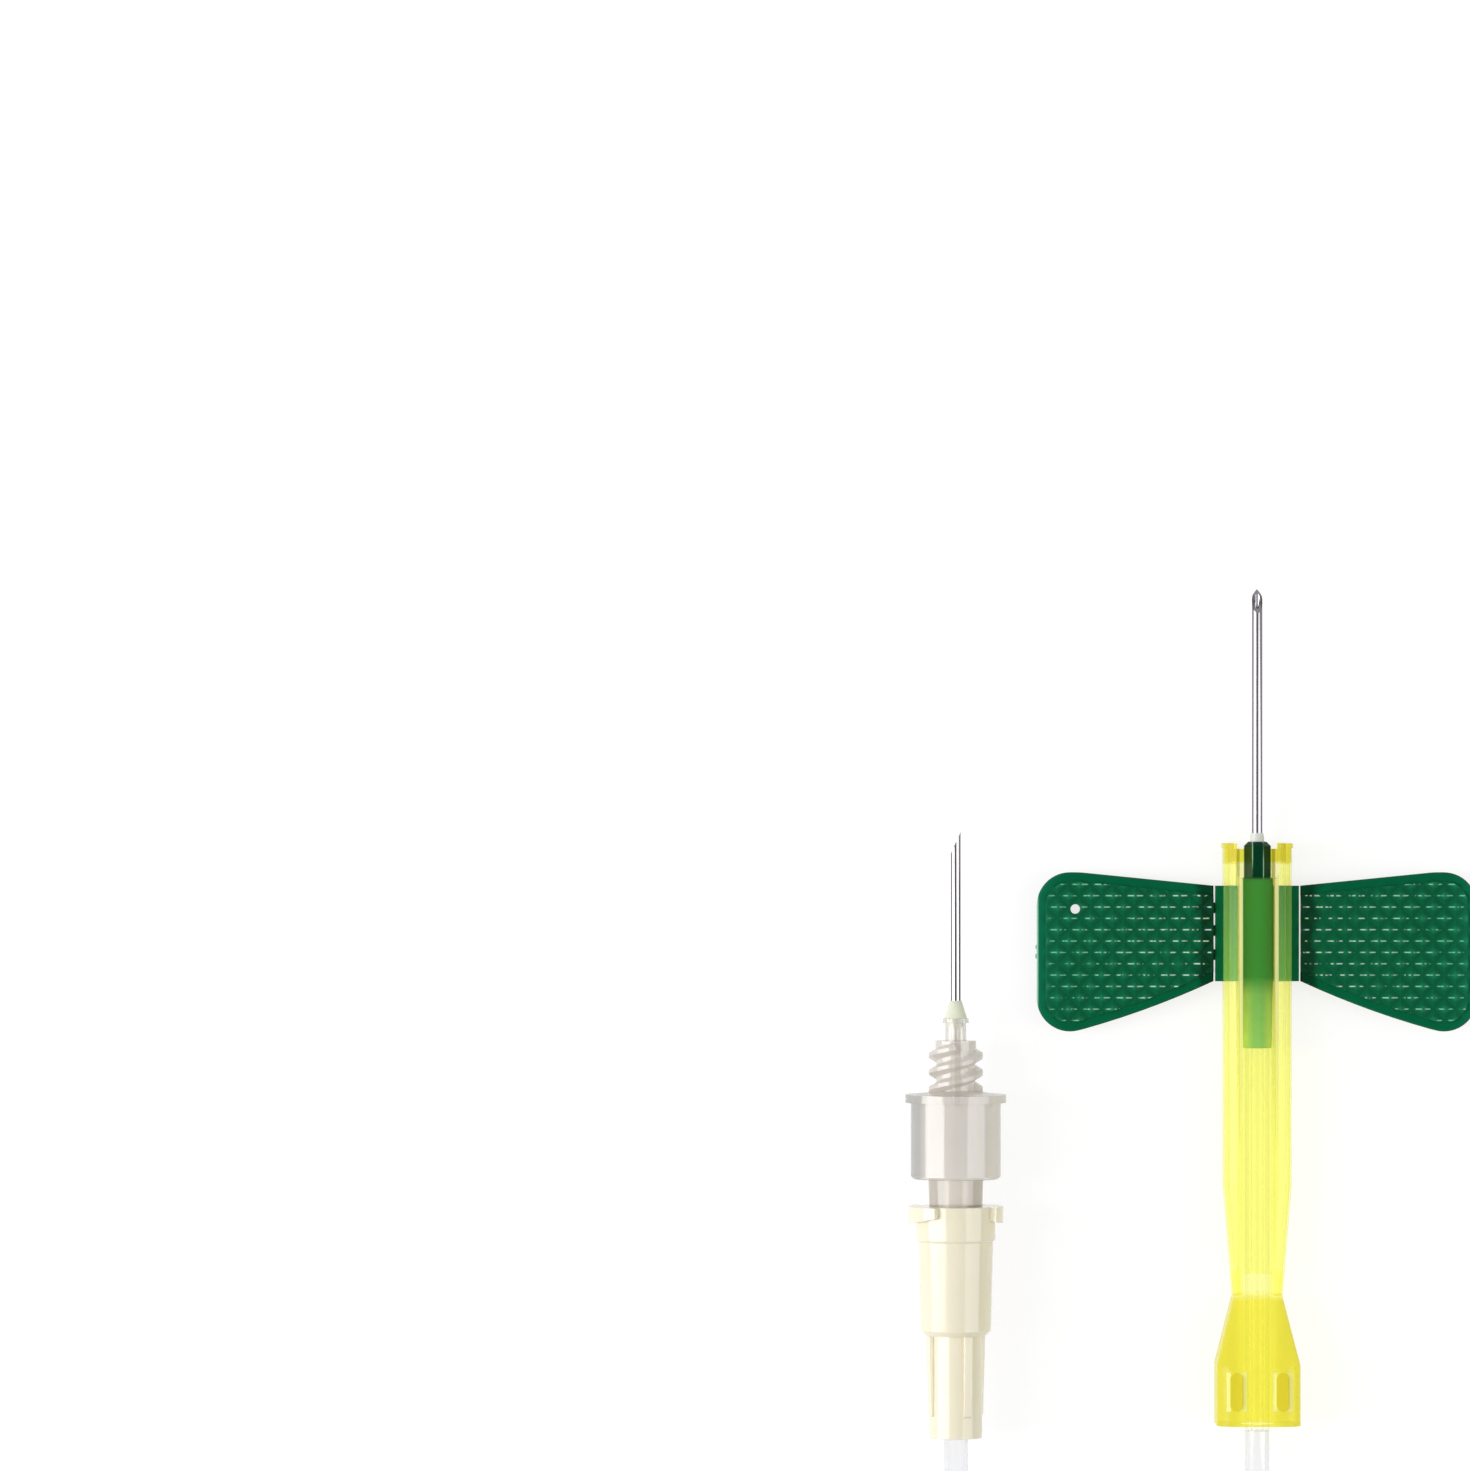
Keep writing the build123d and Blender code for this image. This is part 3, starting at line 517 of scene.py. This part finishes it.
def tube_curve(name, points, radius, material):
    """A round tube along one smooth spline."""
    data = bpy.data.curves.new(name, "CURVE")
    data.dimensions = "3D"
    data.resolution_u = 6
    data.bevel_depth = radius * MM
    data.bevel_resolution = 6
    data.use_fill_caps = True
    spline = data.splines.new("NURBS")
    spline.points.add(len(points) - 1)
    for target, point in zip(spline.points, points):
        target.co = (*(value * MM for value in point), 1.0)
    spline.order_u = 3
    spline.use_endpoint_u = True
    data.materials.append(material)
    curve = bpy.data.objects.new(name, data)
    scene.collection.objects.link(curve)
    return curve


tubing = tube_curve("tubing", tubing_points, TUBE_RADIUS, tube_free)
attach(tubing, "hub")
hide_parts("tube_lead_needle", "tube_coil", "tube_lead_luer")


def new_piece(name, form, material):
    """Makes an object of a finished form, which is given up."""
    mesh = bpy.data.meshes.new(name)
    form.to_mesh(mesh)
    form.free()
    mesh.materials.append(material)
    piece = bpy.data.objects.new(name, mesh)
    scene.collection.objects.link(piece)
    return piece


# The left hinge is cut through but for three short links of the same green
HINGE_X, HINGE_WIDTH = -0.00335, 0.00014
LINK_MIDDLES = (0.00800, 0.00622, 0.00433)
LINK_TOP, LINK_THICKNESS, LINK_LENGTH = 0.00208, 0.00022, 0.00088
LINK_FOOT_SHARE = 0.82   # of its length
LINK_ROUNDING = 0.00003
for index, middle in enumerate(LINK_MIDDLES):
    form = bmesh.new()
    bmesh.ops.create_cube(form, size=1.0)
    bmesh.ops.scale(form, vec=(HINGE_WIDTH, LINK_LENGTH, LINK_THICKNESS), verts=form.verts)
    foot = [v for v in form.verts if v.co.z < 0]
    bmesh.ops.scale(form, vec=(1.0, LINK_FOOT_SHARE, 1.0), verts=foot)
    bmesh.ops.bevel(form, geom=form.edges[:], offset=LINK_ROUNDING, segments=2, affect="EDGES")
    place = (HINGE_X, middle, LINK_TOP - LINK_THICKNESS / 2)
    bmesh.ops.translate(form, vec=place, verts=form.verts)
    piece = new_piece(f"hinge_link_{index + 1}", form, wing_green)
    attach(piece, "hub")

# Where the left wing was cut from its mould's gate, two small nubs stand on its outer edge
NUB_X, NUB_LEVEL = -0.01726, 0.00182
NUB_SHAPE = (0.75, 1.0, 0.8)
form = bmesh.new()
for middle, size in ((0.00492, 0.00020), (0.00420, 0.00023)):
    made = bmesh.ops.create_icosphere(form, subdivisions=2, radius=size)["verts"]
    bmesh.ops.scale(form, vec=NUB_SHAPE, verts=made)
    bmesh.ops.translate(form, vec=(NUB_X, middle, NUB_LEVEL), verts=made)
gate_nubs = new_piece("gate_nubs", form, wing_green)
gate_nubs.data.shade_smooth()
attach(gate_nubs, "left_wing")

# Floor: pale, and plain white where it is seen or mirrored, but for the object's shadow
REACH = 4.0
floor_mesh = bpy.data.meshes.new("floor")
floor_mesh.from_pydata(
    [(-REACH, -REACH, 0), (REACH, -REACH, 0), (REACH, REACH, 0), (-REACH, REACH, 0)],
    [],
    [(0, 1, 2, 3)],
)
floor = bpy.data.objects.new("floor", floor_mesh)
floor.location.z = -0.0001
scene.collection.objects.link(floor)
FLOOR_LIT, FLOOR_SEEN = (0.8, 0.8, 0.8, 1.0), (0.3, 0.3, 0.3, 1.0)
FLOOR_GLOW = 0.78
f = Shader("floor_white")
rays = f.add("ShaderNodeLightPath").outputs
seen = f.largest(rays["Is Camera Ray"], rays["Is Glossy Ray"], rays["Is Transmission Ray"])
paper = f.add("ShaderNodeBsdfDiffuse", Color=f.blend(seen, FLOOR_LIT, FLOOR_SEEN))
glow = f.add("ShaderNodeEmission", Color=CLEAR, Strength=f.spread(seen, 0.0, FLOOR_GLOW))
both = f.add("ShaderNodeAddShader")
f.fill(both.inputs[0], paper.outputs[0])
f.fill(both.inputs[1], glow.outputs[0])
floor_mesh.materials.append(f.finish(both.outputs[0]))

# Studio light: a soft surround, dim straight above where the camera stands and low
# down, and two long soft boxes beside the object
SURROUND = ((0.0, 0.3), (0.25, 0.48), (0.6, 0.58), (0.9, 0.52), (0.985, 0.28), (1.0, 0.22))
world = bpy.data.worlds.new("studio")
world.use_nodes = True
tree = world.node_tree
background = tree.nodes["Background"]
background.inputs["Color"].default_value = CLEAR
direction = tree.nodes.new("ShaderNodeTexCoord")
split = tree.nodes.new("ShaderNodeSeparateXYZ")
height = tree.nodes.new("ShaderNodeValToRGB")
tree.links.new(direction.outputs["Generated"], split.inputs[0])
tree.links.new(split.outputs["Z"], height.inputs["Fac"])
tree.links.new(height.outputs["Color"], background.inputs["Strength"])
ramp = height.color_ramp
while len(ramp.elements) < len(SURROUND):
    ramp.elements.new(0.5)
for element, (level, strength) in zip(ramp.elements, SURROUND):
    element.position = level
    element.color = (strength, strength, strength, 1.0)
scene.world = world


def soft_box(name, place, aim, width, length, brightness):
    """An area lamp whose face has the given brightness, its long side along Y."""
    data = bpy.data.lights.new(name, "AREA")
    data.shape = "RECTANGLE"
    data.size = width
    data.size_y = length
    data.energy = brightness * pi * width * length
    lamp = bpy.data.objects.new(name, data)
    lamp.location = place
    lamp.rotation_euler = (Vector(aim) - Vector(place)).to_track_quat("-Z", "Y").to_euler()
    scene.collection.objects.link(lamp)


BETWEEN_THE_ENDS = (-0.01, 0.0, 0.0)
soft_box("left_box", (-0.60, 0.0, 0.35), BETWEEN_THE_ENDS, 0.21, 0.7, 6.5)
soft_box("right_box", (0.5, -0.05, 0.4), BETWEEN_THE_ENDS, 0.18, 0.6, 2.6)
